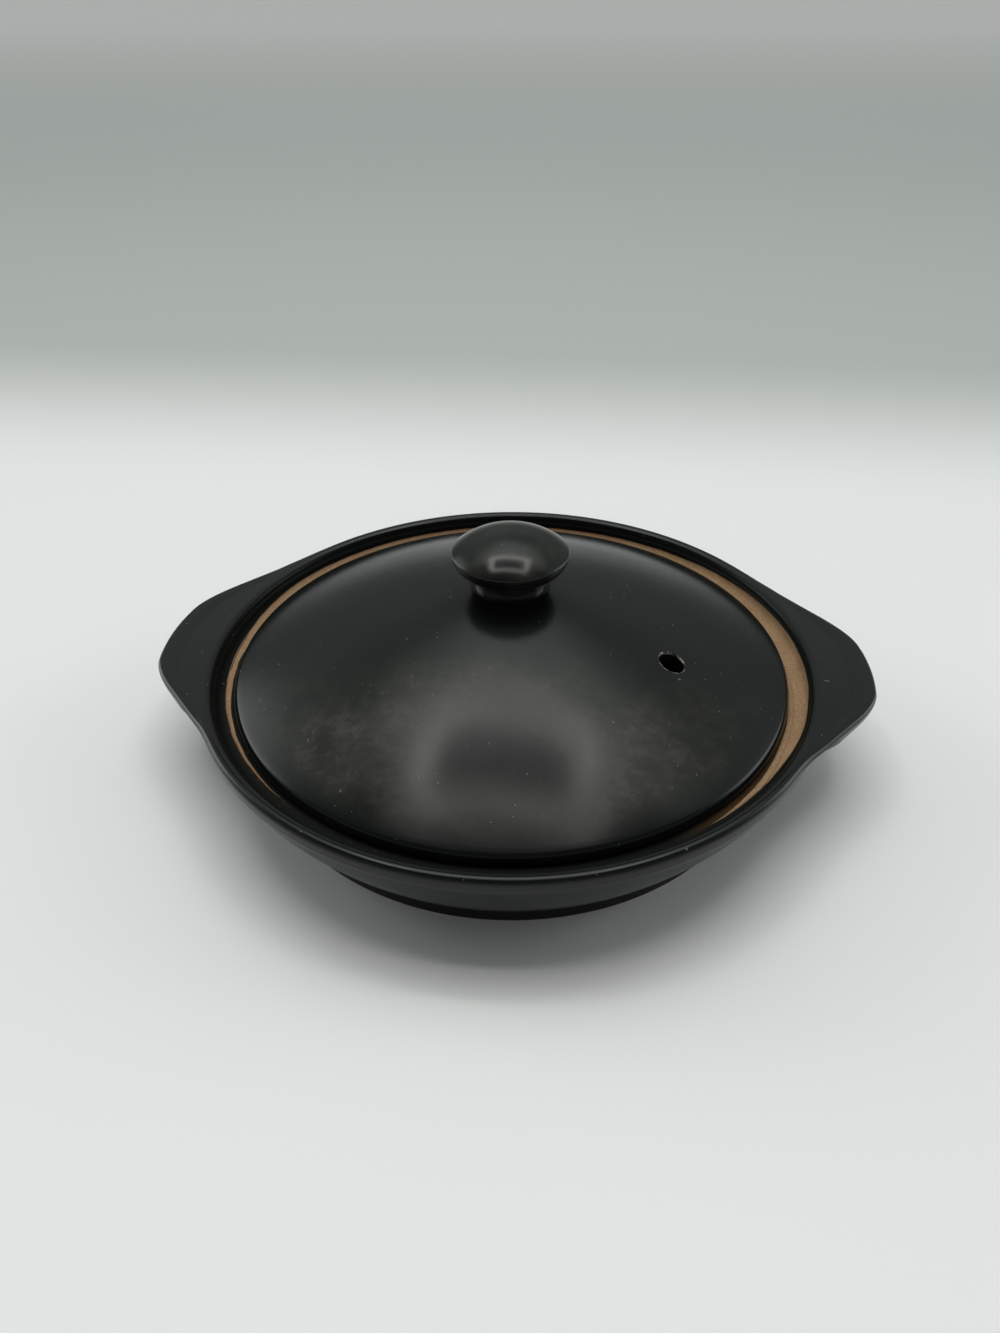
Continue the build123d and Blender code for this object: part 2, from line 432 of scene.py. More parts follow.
# Where the bare clay on the ledge ends, towards the rim and towards the middle, in degrees round
# the pot and millimetres along the ledge and up the wall over it
BARE_OUTER = (
    (-180, -1.4), (-170, -1.9), (-160, -3.0), (-150, -3.5), (-135, -4.7), (-122, -5.9), (-112, -6.5),
    (-65, -6.0), (-50, -3.9), (-40, -3.2), (-30, -2.4), (-22, -0.8), (-14, 3.6), (-5, 5.2), (5, 5.0),
    (20, 4.5), (40, 3.8), (60, 2.6), (90, 2.7), (120, 2.8), (135, 2.3), (150, 2.3), (160, 1.0),
    (170, -0.6), (180, -1.4),
)
BARE_INNER = (
    (-180, -4.2), (-170, -4.4), (-150, -4.8), (-135, -5.1), (-122, -5.2), (-112, -4.5), (-65, -3.0),
    (-50, -3.7), (-40, -4.4), (-30, -5.0), (-20, -5.8), (-5, -5.9), (10, -7.5), (40, -9.0),
    (140, -9.0), (160, -8.0), (172, -5.4), (180, -4.2),
)
# The widest span of those millimetres, evenly about zero
DIAL_SPAN = 20
# Radius at which the ledge bends up into the wall, where those millimetres are zero
LEDGE_BEND = 0.1117
CLAY_WANDER = 0.0010

# Soft edges, each from where it starts to where it ends: the clay's two ends along the ledge, the
# height over which it shows in the bowl, and the height up to which it shows at the foot
CLAY_OUTER_EDGE = (-0.00015, 0.00015)
CLAY_INNER_EDGE = (-0.0002, 0.0002)
CLAY_LOWEST = (LID_SEAT - 0.0006, LID_SEAT - 0.0002)
CLAY_FOOT = (0.0002, 0.0005)

# Radians round the pot over which a mark comes up, is full, is still full and has gone
DARK_LINE_TURNS = (-0.75, -0.5, 0.05, 0.25)
AMBER_RIGHT_TURNS = (-1.02, -0.68, -0.25, -0.05)
AMBER_LEFT_TURNS = (-3.0, -2.75, -2.3, -2.0)
DRIP_TURNS = (3.01, 3.05)
# Distances of the dark line and the run of glaze from the clay's inner and outer end, and half their
# widths
DARK_LINE_INSET = 0.0019
DARK_LINE_WIDTH = (0.0001, 0.0004)
DRIP_INSET = 0.00055
DRIP_WIDTH = (0.0001, 0.00022)
# How far the scorch and the amber glaze reach from the clay's ends
SCORCH_REACH = (-0.0009, -0.00005)
AMBER_RIGHT_EDGE = (0.0004, -0.0004)
AMBER_LEFT_REACH = (0.0020, 0.0002)
AMBER_LEFT_EDGE = (-0.0002, 0.0003)

# Heights of the clay's grain, the glaze's edge on it, the glaze's slow waves and its fine skin
CLAY_RELIEF = 0.0001
COAT_THICKNESS = 0.00008
GLAZE_WAVES = 0.00012
KNOB_WAVES = 0.00003
GLAZE_SKIN = 0.000004
CLAY_ROUGHNESS = 0.85
# The glaze is rougher by this much in the gallery, which starts softly between these heights and
# between these radii
GALLERY_ROUGHNESS = 0.30
GALLERY_TOP = (RIM_HEIGHT - 0.0010, RIM_HEIGHT - 0.0030)
GALLERY_RADIUS = (RIM_RADIUS - 0.0026, RIM_RADIUS - 0.0036)
# The lid is rougher by this much on its upright edge, which starts softly between these heights
LID_EDGE_ROUGHNESS = 0.35
LID_EDGE_TOP = (LID_SEAT + 0.0032, LID_SEAT + 0.0022)

# The smudges on the lid, with the ceiling lamps' sheen painted into them: its middle, how quickly it
# fades each way, how far to the front it starts and where it ends at the lid's edge
SHEEN_MIDDLE = (0.004, -0.081)
SHEEN_FADE = (16.5, 24.0)
SHEEN_FRONT = (-0.015, -0.06)
SHEEN_END = (0.1030, 0.0925)
# The chipped edge of the steam hole: how far outside the hole it lies, half its width, and how deep
# the chips bite
CHIP_OUT = 0.0004
CHIP_WIDTH = (0.00022, 0.0004)
CHIP_BITE = 0.0022
CHIP_DEPTH = (-0.0001, 0.0002)
# Grain of the fine specks, and how wide a share of it turns into specks
SPECK_GRAIN = 900.0
SPECK_SHARE = 0.02


def add_specks(bench, look, place, coat, amount, rarest):
    """Strew fine pale specks over a coat of glaze."""
    specks = bench.span(bench.noise(place, SPECK_GRAIN, 0.0), rarest, rarest + SPECK_SHARE)
    return bench.mix(bench.product(specks, amount), coat, look.speck_colour)


def smudges_and_sheen(bench, place, clouds):
    """Smudges and a painted lamp sheen on the lid: hazy round a darker middle in front, broken up by finer
    marks.
    """
    x, y, _ = bench.parts(place)
    streaks = bench.noise(place, 420.0, 3.0, 0.65, stretch=(0.10, 0.8, 0.8))
    mottle = bench.noise(place, 260.0, 5.0, 0.75)
    wisps = bench.noise(place, 75.0, 5.0, 0.68)
    across = bench.product(bench.minus(x, SHEEN_MIDDLE[0]), SHEEN_FADE[0])
    along = bench.product(bench.minus(y, SHEEN_MIDDLE[1]), SHEEN_FADE[1])
    spread = bench.distance(across, along)
    # The ring round a darker middle follows the ceiling lamps' reflection: painted sheen
    ring = bench.product(
        bench.span(spread, 0.30, 0.62, 0.05, 1.0),
        bench.span(spread, 0.75, 1.35, 1.0, 0.44),
        bench.span(bench.distance(x, y), *SHEEN_END),
    )
    return bench.product(
        bench.span(clouds, 0.28, 0.78, 0.0, 1.5, smooth=False),
        bench.span(y, *SHEEN_FRONT),
        ring,
        bench.span(mottle, 0.25, 0.75, 0.35, 1.3, smooth=False),
        bench.span(wisps, 0.34, 0.68, 0.25, 1.55, smooth=False),
        bench.span(streaks, 0.30, 0.60, 0.70, 1.0),
    )


def chip_hole(bench, place, sizes):
    """How chipped the glaze is round the steam hole."""
    x, y, _ = bench.parts(place)
    hole_x = sizes.hole_reach * cos(sizes.hole_turn)
    hole_y = sizes.hole_reach * sin(sizes.hole_turn)
    away = bench.distance(bench.minus(x, hole_x), bench.minus(y, hole_y))
    edge = bench.span(bench.apart(away, sizes.hole_radius + CHIP_OUT), *CHIP_WIDTH, 1.0, 0.0)
    bite = bench.product(bench.minus(bench.noise(place, 420.0, 2.0, 0.7), 0.5), CHIP_BITE)
    return bench.product(edge, bench.span(bite, *CHIP_DEPTH))


def make_lid_glaze(look, sizes):
    """Semi-matte black glaze, smudged hazy in front with a painted lamp sheen, with fine specks and a
    chipped steam hole.
    """
    material, bench = new_material("lid_black_glaze")
    place = bench.position()
    z = bench.parts(place)[2]
    clouds = bench.noise(place, 24.0, 4.0, 0.62)
    smudged_sheen = smudges_and_sheen(bench, place, clouds)
    # Painted sheen: the smudge colour is laid in a ring where the ceiling lamps' reflection falls, partly
    # real smudges
    coat = bench.mix(smudged_sheen, look.glaze_colour, look.smudge_sheen_colour)
    coat = add_specks(bench, look, place, coat, 0.6, 0.855)
    coat = bench.mix(bench.product(chip_hole(bench, place, sizes), 0.8), coat, look.chip_colour)
    roughness = bench.total(
        bench.span(clouds, 0.3, 0.75, 0.19, 0.23),
        bench.product(smudged_sheen, 0.12),
        bench.span(z, *LID_EDGE_TOP, 0.0, LID_EDGE_ROUGHNESS),
    )
    height = bench.total(
        bench.product(bench.noise(place, 1500.0, 2.0, 0.6), GLAZE_SKIN),
        bench.product(bench.noise(place, 34.0, 1.0, 0.4), GLAZE_WAVES),
    )
    bench.surface(coat, roughness, LID_SHINE, bench.bump(height))
    return material


def make_knob_glaze(look, name, shine):
    """The same black glaze, thicker and glossier on the knob."""
    material, bench = new_material(name)
    place = bench.position()
    clouds = bench.noise(place, 60.0, 3.0, 0.6)
    coat = bench.mix(bench.span(clouds, 0.4, 0.7, 0.0, 0.25), look.glaze_colour, look.smudge_sheen_colour)
    coat = add_specks(bench, look, place, coat, 0.5, 0.86)
    roughness = bench.span(clouds, 0.3, 0.7, 0.16, 0.21)
    height = bench.product(bench.noise(place, 90.0, 2.0, 0.5), KNOB_WAVES)
    bench.surface(coat, roughness, shine, bench.bump(height))
    return material


def paint_clay(bench, look, place, turn, over, short, bare, grain):
    """Bare clay with pale grains, a darker line, a scorched edge and a thin run of glaze at the left."""
    dark_line = bench.product(
        bench.span(bench.apart(short, DARK_LINE_INSET), *DARK_LINE_WIDTH, 1.0, 0.0),
        bench.stretch(turn, *DARK_LINE_TURNS),
    )
    drift = bench.noise(place, 90.0, 3.0, 0.6)
    scorch = bench.product(bench.span(over, *SCORCH_REACH), bare)
    drip = bench.product(
        bench.span(bench.apart(over, -DRIP_INSET), *DRIP_WIDTH, 1.0, 0.0),
        bench.span(bench.math("ABSOLUTE", turn), *DRIP_TURNS),
    )
    clay = bench.mix(bench.span(grain, 0.38, 0.62), look.clay_colour, look.clay_light)
    clay = bench.mix(bench.product(dark_line, 0.4), clay, look.dark_line_colour)
    clay = bench.mix(bench.span(drift, 0.35, 0.75, 0.0, 0.35), clay, look.clay_shade)
    clay = bench.mix(bench.product(scorch, 0.55), clay, look.scorch_colour)
    return bench.mix(bench.product(drip, 0.9), clay, look.glaze_colour)


def paint_coat(bench, look, place, turn, over, short, inside):
    """Black glaze with fine specks, thin and amber beside the clay at the right and the left."""
    right = bench.product(
        bench.stretch(turn, *AMBER_RIGHT_TURNS), bench.span(short, *AMBER_RIGHT_EDGE), inside,
    )
    speckle = bench.span(bench.noise(place, 500.0, 2.0, 0.6), 0.42, 0.62)
    left = bench.product(
        bench.stretch(turn, *AMBER_LEFT_TURNS), bench.span(over, *AMBER_LEFT_REACH),
        bench.span(over, *AMBER_LEFT_EDGE), speckle, inside, 0.35,
    )
    thin = bench.math("MAXIMUM", right, left)
    coat = bench.mix(thin, look.glaze_colour, look.amber_colour)
    return add_specks(bench, look, place, coat, 0.6, 0.855)


def make_pot_glaze(look, name, shine):
    """Black glaze over clay, left bare on the lid's ledge and under the foot."""
    material, bench = new_material(name)
    place = bench.position()
    x, y, z = bench.parts(place)
    reach = bench.distance(x, y)
    turn = bench.math("ARCTAN2", y, x)
    wander = bench.product(bench.minus(bench.noise(place, 70.0, 3.0, 0.6), 0.5), CLAY_WANDER)
    level = bench.total(bench.minus(z, LID_SEAT), bench.minus(reach, LEDGE_BEND), wander)
    over = bench.minus(level, bench.dial(turn, BARE_OUTER))
    short = bench.minus(level, bench.dial(turn, BARE_INNER))
    inside = bench.span(z, *CLAY_LOWEST)
    bare = bench.product(
        bench.span(over, *CLAY_OUTER_EDGE, 1.0, 0.0), bench.span(short, *CLAY_INNER_EDGE), inside,
    )
    foot = bench.span(z, *CLAY_FOOT, 1.0, 0.0)
    bare_all = bench.math("MAXIMUM", bare, foot)
    grain = bench.noise(place, 900.0, 4.0, 0.75)
    clay = paint_clay(bench, look, place, turn, over, short, bare, grain)
    coat = paint_coat(bench, look, place, turn, over, short, inside)
    gallery = bench.product(
        bench.span(z, *GALLERY_TOP, 0.0, GALLERY_ROUGHNESS), inside, bench.span(reach, *GALLERY_RADIUS),
    )
    clouds = bench.noise(place, 22.0, 3.0, 0.55)
    gloss = bench.total(bench.span(clouds, 0.3, 0.7, 0.19, 0.26), gallery)
    roughness = bench.total(
        bench.product(gloss, bench.minus(1.0, bare_all)), bench.product(bare_all, CLAY_ROUGHNESS),
    )
    height = bench.total(
        bench.product(grain, bare_all, CLAY_RELIEF),
        bench.product(bench.noise(place, 30.0, 1.0, 0.4), GLAZE_WAVES),
        bench.product(bare, -COAT_THICKNESS),
    )
    bench.surface(bench.mix(bare_all, coat, clay), roughness, shine, bench.bump(height))
    return material


class SANDPOT_OT_stage(bpy.types.Operator):
    """Make the floor, the soft studio light and the camera"""

    bl_idname = "sandpot.stage"
    bl_label = "Studio"

    def execute(self, context):
        look = context.scene.sandpot_studio
        bpy.ops.object.select_all(action="DESELECT")
        bpy.ops.mesh.primitive_grid_add(x_subdivisions=8, y_subdivisions=8, size=FLOOR_SIZE)
        floor = context.object
        floor.name = "studio_floor"
        material, bench = new_material("studio_floor")
        y = bench.parts(bench.position())[1]
        # Painted light: a grey band of shade behind the pot, then paler floor that is partly a painted
        # sheen of the low sky
        back = bench.mix(bench.span(y, *FLOOR_SHEEN_SPAN), look.far_shade_colour, look.deep_and_sheen_colour)
        colour = bench.mix(bench.span(y, *FLOOR_SHADE_SPAN), look.floor_colour, back)
        bench.surface(colour, FLOOR_ROUGHNESS, FLOOR_SHINE)
        floor.data.materials.append(material)
        self.light_sky(context, look)
        self.hang_lamps(look)
        self.place_camera(context)
        context.scene.view_settings.view_transform = "Standard"
        return {"FINISHED"}

    def light_sky(self, context, look):
        """Soft light, strong overhead and at both sides, weak low down and behind the camera."""
        world = bpy.data.worlds.new("studio_sky")
        world.use_nodes = True
        context.scene.world = world
        bench = NodeBench(world.node_tree)
        x, y, z = bench.parts(bench.add("ShaderNodeTexCoord").outputs["Generated"])
        ahead = bench.span(y, *SKY_AHEAD)
        beside = bench.span(bench.math("ABSOLUTE", x), *SKY_BESIDE)
        front = bench.product(bench.span(z, *SKY_TOWARD), bench.minus(1.0, ahead))
        back = bench.product(bench.total(bench.span(z, *SKY_LOW), bench.span(z, *SKY_HIGH), beside), ahead)
        level = bench.product(bench.total(back, front), bench.span(x, *SKY_SLANT, smooth=False))
        sky = bench.add("ShaderNodeBackground")
        bench.link(SKY_COLOUR, sky.inputs["Color"])
        bench.link(bench.product(level, look.sky_level), sky.inputs["Strength"])
        behind = bench.add("ShaderNodeBackground")
        bench.link(BEHIND_COLOUR, behind.inputs["Color"])
        seen = bench.add("ShaderNodeLightPath").outputs["Is Camera Ray"]
        either = bench.add("ShaderNodeMixShader")
        for place, source in enumerate((seen, sky.outputs[0], behind.outputs[0])):
            bench.link(source, either.inputs[place])
        out = bench.add("ShaderNodeOutputWorld")
        bench.link(either.outputs[0], out.inputs["Surface"])

    def hang_lamps(self, look):
        """Four lamps in a long rectangular ring over the pot."""
        for name, (x, y), (width, depth) in LAMPS:
            bpy.ops.object.light_add(type="AREA", location=(x, y, look.lamp_height))
            lamp = bpy.context.object
            lamp.name = name
            lamp.data.shape = "RECTANGLE"
            lamp.data.size = width
            lamp.data.size_y = depth
            lamp.data.energy = look.lamp_radiance * pi * width * depth
            lamp.data.color = LAMP_COLOUR

    def place_camera(self, context):
        """Stand the camera where the photograph was taken from."""
        camera = bpy.data.cameras.new("camera")
        camera.lens = CAMERA_LENS
        camera.sensor_width = CAMERA_SENSOR
        camera.clip_start = CAMERA_NEAR
        holder = bpy.data.objects.new("camera", camera)
        context.scene.collection.objects.link(holder)
        stand = Matrix.Translation(CAMERA_PLACE)
        for degrees, axis in zip(CAMERA_TURN, "ZXZ"):
            stand = stand @ Matrix.Rotation(radians(degrees), 4, axis)
        holder.matrix_world = stand
        context.scene.camera = holder


# How far inside the round of the rim's outer edge the crown's last ring lies
CROWN_INSET = 0.0004


def crown_end(sizes):
    """Radius of the last ring of the rim's crown."""
    return RIM_RADIUS - sizes.lip_outer_round - CROWN_INSET


class LugForm:
    """Where the lug's surface lies, at any direction from the middle of the pot."""

    # How far the edge stands out from the rim where a part of the lug's section is fully formed
    LIP_FORMED = 0.003
    DROP_FORMED = 0.004
    PLATE_FORMED = 0.0075
    DISH_FORMED = (0.004, 0.012)
    # Where the drop of the lug's top begins and ends, from the rim's outline
    DROP_FROM = -0.0030
    DROP_TO = 0.0025
    # Width of the lug's edge that isn't dished, and the least width of the dish
    FLAT_EDGE = 0.003
    LEAST_DISH = 0.001
    # The underside rises to the tip's thickness this far past the tip and is this hollow on the
    # way, and the lug's side leans in by this share of its depth
    UNDER_BEYOND = 0.005
    UNDER_HOLLOW = 0.001
    SIDE_LEAN = 0.2126
    # Height of the side under the round of the lug's upper edge that stays straight
    SIDE_STRAIGHT = 0.0005
    # The middle of the wall swells by this share of its bulge
    WALL_BULGE_SHARE = 0.85
    # Steps along the underside, up the side, round the lip and over the top to the crown
    UNDER_STEPS = 10
    SIDE_STEPS = 6
    LIP_STEPS = 7
    CROWN_STEPS = 16

    def __init__(self, sizes):
        self.sizes = sizes
        half = sizes.lug_near_half_left
        near_right = self.flank(sizes.lug_near_half_right, sizes.lug_near_waist_right)
        near_left = self.flank(half, sizes.lug_near_waist_left)
        far_right = self.flank(sizes.lug_far_half_right, sizes.lug_far_waist)
        far_left = self.flank(sizes.lug_far_half_left, sizes.lug_far_waist)
        self.flanks = ((far_right, near_right), (far_left, near_left))
        self.tip_round = (half * half + sizes.lug_crown**2) / (2 * sizes.lug_crown)
        self.tip_centre = LUG_TIP - self.tip_round
        self.low = RIM_HEIGHT - sizes.lug_root_thickness

    def flank(self, half, waist):
        """Distance from the middle and direction of the straight side of a lug."""
        chord = LUG_TIP - self.sizes.lug_crown
        touch = RIM_RADIUS - waist
        return touch, atan2(half, chord) + acos(touch / hypot(chord, half))

    def reach(self, turn):
        """Radius of the lug's outline, which runs into the rim's circle away from the lug."""
        touch, lean = self.flanks[cos(turn) < 0][sin(turn) < 0]
        turn = abs((turn + pi / 2) % pi - pi / 2)
        side = self.tip_centre * sin(turn)
        tip = self.tip_centre * cos(turn) + sqrt(self.tip_round**2 - side * side)
        flank = touch / cos(turn - lean) if turn < lean else touch
        soft = self.sizes.lug_corner
        blend = max(soft - abs(tip - flank), 0) / soft
        edge = min(tip, flank) - blend * blend * soft / 4
        soft = self.sizes.lug_root
        blend = max(soft - abs(edge - RIM_RADIUS), 0) / soft
        return max(edge, RIM_RADIUS) + blend * blend * soft / 4

    def wall(self, height):
        """Radius of the bowl's wall at a height."""
        sizes = self.sizes
        foot = (sizes.foot_radius + sizes.foot_step, sizes.foot_band + sizes.foot_step / 2)
        share = min((height - foot[1]) / (sizes.wall_top - foot[1]), 1)
        bulge = sizes.wall_bulge * 4 * share * (1 - share) * self.WALL_BULGE_SHARE
        return foot[0] + (RIM_RADIUS - foot[0]) * share + bulge

    def under(self, radius):
        """Height of the lug's hollow underside."""
        share = (radius - RIM_RADIUS) / (LUG_TIP + self.UNDER_BEYOND - RIM_RADIUS)
        tip = RIM_HEIGHT - self.sizes.lug_tip_thickness
        return self.low + (tip - self.low) * share + self.UNDER_HOLLOW * 4 * share * (1 - share)

    def crown(self, radius, edge):
        """Height of the top: it leaves the rim softly and is a little hollow."""
        out = edge - RIM_RADIUS
        off = radius - RIM_RADIUS
        fall = self.sizes.lug_drop * ease(off, self.DROP_FROM, self.DROP_TO)
        share = min(max(off / max(out - self.FLAT_EDGE, self.LEAST_DISH), 0), 1)
        hollow = self.sizes.lug_dish * sin(pi * share) ** 2 * ease(out, *self.DISH_FORMED)
        return RIM_HEIGHT - fall * ease(out, 0, self.DROP_FORMED) - hollow

    def section(self, edge):
        """The lug's section from the wall round its edge to the rim's crown."""
        sizes = self.sizes
        out = edge - RIM_RADIUS
        rim_lip = sizes.lip_outer_round
        lip = rim_lip + (sizes.lug_top_round - rim_lip) * ease(out, 0, self.LIP_FORMED)
        top = RIM_HEIGHT - sizes.lug_drop * ease(out, 0, self.DROP_FORMED)
        plate = top - lip - self.SIDE_STRAIGHT
        bare_low = (self.wall(self.low), self.low)
        bare_top = (RIM_RADIUS, sizes.wall_top)
        bare = line(bare_low, bare_top, self.UNDER_STEPS)
        bare += line(bare_top, (RIM_RADIUS, RIM_HEIGHT - rim_lip), self.SIDE_STEPS)
        under_edge = edge - (plate - self.under(edge)) * self.SIDE_LEAN
        full = []
        for step in range(self.UNDER_STEPS):
            radius = bare_low[0] + (under_edge - bare_low[0]) * step / self.UNDER_STEPS
            full.append((radius, self.under(radius) if radius > RIM_RADIUS else self.low))
        full += line((under_edge, self.under(edge)), (edge, plate), self.SIDE_STEPS - 1)
        full.append((edge, plate))
        share = ease(out, 0, self.PLATE_FORMED)
        points = [between(plain, lug, share) for plain, lug in zip(bare, full)]
        for step in range(self.LIP_STEPS + 1):
            lean = pi / 2 * step / self.LIP_STEPS
            points.append((edge - lip + lip * cos(lean), top - lip + lip * sin(lean)))
        start = edge - lip
        for step in range(1, self.CROWN_STEPS + 1):
            radius = start + (crown_end(sizes) - start) * step / self.CROWN_STEPS
            points.append((radius, self.crown(radius, edge)))
        return points


# Steps up the wall, and the radius within which a point belongs to a pole of the pot
WALL_STEPS = 22
POLE_RADIUS = 0.001
# A point of the spun pot belongs to a ring of the rim that it is this close to
RING_GAP = 0.00004
# Radians from X to a lug's corner, how far on either side of it the spokes are closest and are
# spread out again, how many more there are, and the small steps in which they are counted out
CORNER_TURN = radians(12)
CORNER_SPREAD = (radians(3), radians(12))
CORNER_WEIGHT = 2.2
FINE_STEPS = 3600
# The duller glaze starts this far inside the crown and this far under the rim, and it ends this far
# under the ledge
DULL_INSET = 0.0012
DULL_DROP = 0.0008
DULL_DEPTH = 0.0004


class SANDPOT_OT_pot(bpy.types.Operator):
    """Turn the bowl and draw its two lugs out of the rim"""

    bl_idname = "sandpot.pot"
    bl_label = "Pot"

    def execute(self, context):
        sizes = context.scene.sandpot_pot
        form = LugForm(sizes)
        band = form.section(RIM_RADIUS)
        section = self.under_section(sizes, form) + band + self.inner_section(sizes)
        pot = spin_section("sand_pot", section, POT_STEPS)
        self.draw_out_lugs(pot, form, band)
        bpy.ops.object.shade_smooth_by_angle(angle=SHARP_TURN)
        look = context.scene.sandpot_glaze
        pot.data.materials.append(make_pot_glaze(look, "pot_black_glaze", POT_SHINE))
        pot.data.materials.append(make_pot_glaze(look, "pot_gallery_glaze", GALLERY_SHINE))
        self.dull_gallery(pot, sizes)
        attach(pot, "pot")
        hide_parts("pot_body", "left_lug", "right_lug")
        return {"FINISHED"}

    def dull_gallery(self, pot, sizes):
        """Give the faces between the rim's crown and the ledge the duller glaze."""
        crown = crown_end(sizes) - DULL_INSET
        brink = RIM_RADIUS - sizes.rim_width - sizes.ledge_lean - sizes.ledge_width
        low = LID_SEAT - DULL_DEPTH
        high = RIM_HEIGHT - DULL_DROP
        for face in pot.data.polygons:
            x, y, z = face.center
            if brink < hypot(x, y) < crown and low < z < high:
                face.material_index = 1

    def under_section(self, sizes, form):
        """The outside from the middle of the base up to where the lugs start."""
        groove_round = 0.0008
        foot_round = 0.0012
        crease_round = 0.0009
        clear = foot_round + 0.0010
        ring = sizes.foot_radius - sizes.foot_ring_width
        middle = (0, sizes.foot_recess)
        recess = (ring, sizes.foot_recess)
        heel = (ring, 0)
        foot = (sizes.foot_radius, 0)
        band = (sizes.foot_radius, sizes.foot_band)
        wall_foot = (sizes.foot_radius + sizes.foot_step, sizes.foot_band + sizes.foot_step / 2)
        wall_top = (RIM_RADIUS, sizes.wall_top)
        section = line(middle, (ring - 2 * groove_round, sizes.foot_recess), 10)
        section += round_corner(middle, recess, heel, groove_round, 4)
        section += round_corner(recess, heel, foot, foot_round, 5)
        section += line((ring + clear, 0), (sizes.foot_radius - clear, 0), 2)
        section += round_corner(heel, foot, band, foot_round, 6)
        section += line((foot[0], 1.5 * foot_round), (foot[0], sizes.foot_band - foot_round), 3)
        section += round_corner(foot, band, wall_foot, groove_round, 4)
        section += round_corner(band, wall_foot, wall_top, crease_round, 4)
        low = wall_foot[1] + foot_round
        high = form.low - groove_round
        for step in range(WALL_STEPS + 1):
            height = low + (high - low) * step / WALL_STEPS
            section.append((form.wall(height), height))
        return section

    def inner_section(self, sizes):
        """The inside from the rim's crown down over the ledge to the middle of the floor."""
        brink_round = 0.001
        gap = 0.0004
        ledge_gap = 0.0022
        lip_gap, lip_drop = 0.00012, 0.0005
        run_start, run_end = 0.08, 0.42
        mouth = (RIM_RADIUS - sizes.rim_width, RIM_HEIGHT)
        corner = (mouth[0] - sizes.ledge_lean, LID_SEAT)
        brink = (corner[0] - sizes.ledge_width, LID_SEAT)
        floor = (sizes.floor_radius, sizes.floor_height)
        middle = (0, sizes.floor_height)
        section = round_corner((crown_end(sizes), RIM_HEIGHT), mouth, corner, sizes.lip_inner_round, 9)
        wall_start = (section[-1][0] - lip_gap, section[-1][1] - lip_drop)
        section += line(wall_start, (corner[0] + gap, LID_SEAT + sizes.ledge_corner + gap), 6)
        section += round_corner(mouth, corner, brink, sizes.ledge_corner, 7)
        ledge_end = (brink[0] + 1.6 * brink_round, LID_SEAT)
        section += line((corner[0] - ledge_gap, LID_SEAT), ledge_end, 9)
        section += round_corner(corner, brink, floor, brink_round, 5)
        section += line(between(brink, floor, run_start), between(brink, floor, run_end), 5)
        section += round_corner(brink, floor, middle, sizes.floor_round, 14)
        section += line((floor[0] - sizes.floor_round, sizes.floor_height), middle, 12)
        return section + [middle]

    def draw_out_lugs(self, pot, form, band):
        """Move the rim's rings outwards into the lugs, with spokes closer together at the corners."""
        turns = self.spread_turns()
        rings = {}
        for place, (radius, height) in enumerate(band):
            rings.setdefault((round(radius, 5), round(height, 5)), place)
        sections = [form.section(form.reach(turn)) for turn in turns]
        found = {}
        for vertex in pot.data.vertices:
            x, y, z = vertex.co
            radius = hypot(x, y)
            if radius < POLE_RADIUS:
                continue
            spoke = round((atan2(y, x) % tau) / tau * POT_STEPS) % POT_STEPS
            key = (round(radius, 6), round(z, 6))
            if key not in found:
                near = min(rings, key=lambda ring: abs(ring[0] - radius) + abs(ring[1] - z))
                close = abs(near[0] - radius) + abs(near[1] - z) < RING_GAP
                found[key] = rings[near] if close else None
            turn = turns[spoke]
            if found[key] is not None:
                radius, z = sections[spoke][found[key]]
            vertex.co = (radius * cos(turn), radius * sin(turn), z)
        pot.data.update()

    def spread_turns(self):
        """Directions round the pot, closer together at the lugs' corners."""
        weight = []
        for step in range(FINE_STEPS):
            turn = abs((step / FINE_STEPS * tau + pi / 2) % pi - pi / 2)
            weight.append(1 + CORNER_WEIGHT * (1 - ease(abs(turn - CORNER_TURN), *CORNER_SPREAD)))
        total = sum(weight)
        turns, gathered, place = [], 0.0, 0
        for step in range(POT_STEPS):
            goal = total * step / POT_STEPS
            while gathered + weight[place] <= goal:
                gathered += weight[place]
                place += 1
            turns.append((place + (goal - gathered) / weight[place]) / FINE_STEPS * tau)
        return turns


class DomeArc:
    """An arc of a turned dome, bulging outwards between two points of its section."""

    def __init__(self, start, end, radius):
        run = hypot(end[0] - start[0], end[1] - start[1])
        deep = sqrt(radius * radius - run * run / 4)
        middle = between(start, end, 0.5)
        self.radius = radius
        self.centre = (
            middle[0] + (end[1] - start[1]) / run * deep,
            middle[1] - (end[0] - start[0]) / run * deep,
        )

    def height(self, reach):
        return self.centre[1] + sqrt(self.radius**2 - (reach - self.centre[0]) ** 2)

    def points(self, start, end, count):
        reaches = [start + (end - start) * step / count for step in range(count + 1)]
        return [(reach, self.height(reach)) for reach in reaches]


# The plug that cuts the steam hole: its sides, the height of its base over the lid's seat, and the
# thickness of a layer before its rings are placed
PLUG_STEPS = 72
PLUG_BASE = LID_SEAT + 0.008
PLUG_LAYER = 0.004
# Its rings, each as a share of the hole's radius and a height over the lid's surface
PLUG_RINGS = (
    (1.0, -0.0008), (1.02, -0.00045), (1.06, -0.0002), (1.13, -0.00003), (1.25, 0.00012), (1.3, 0.003),
)


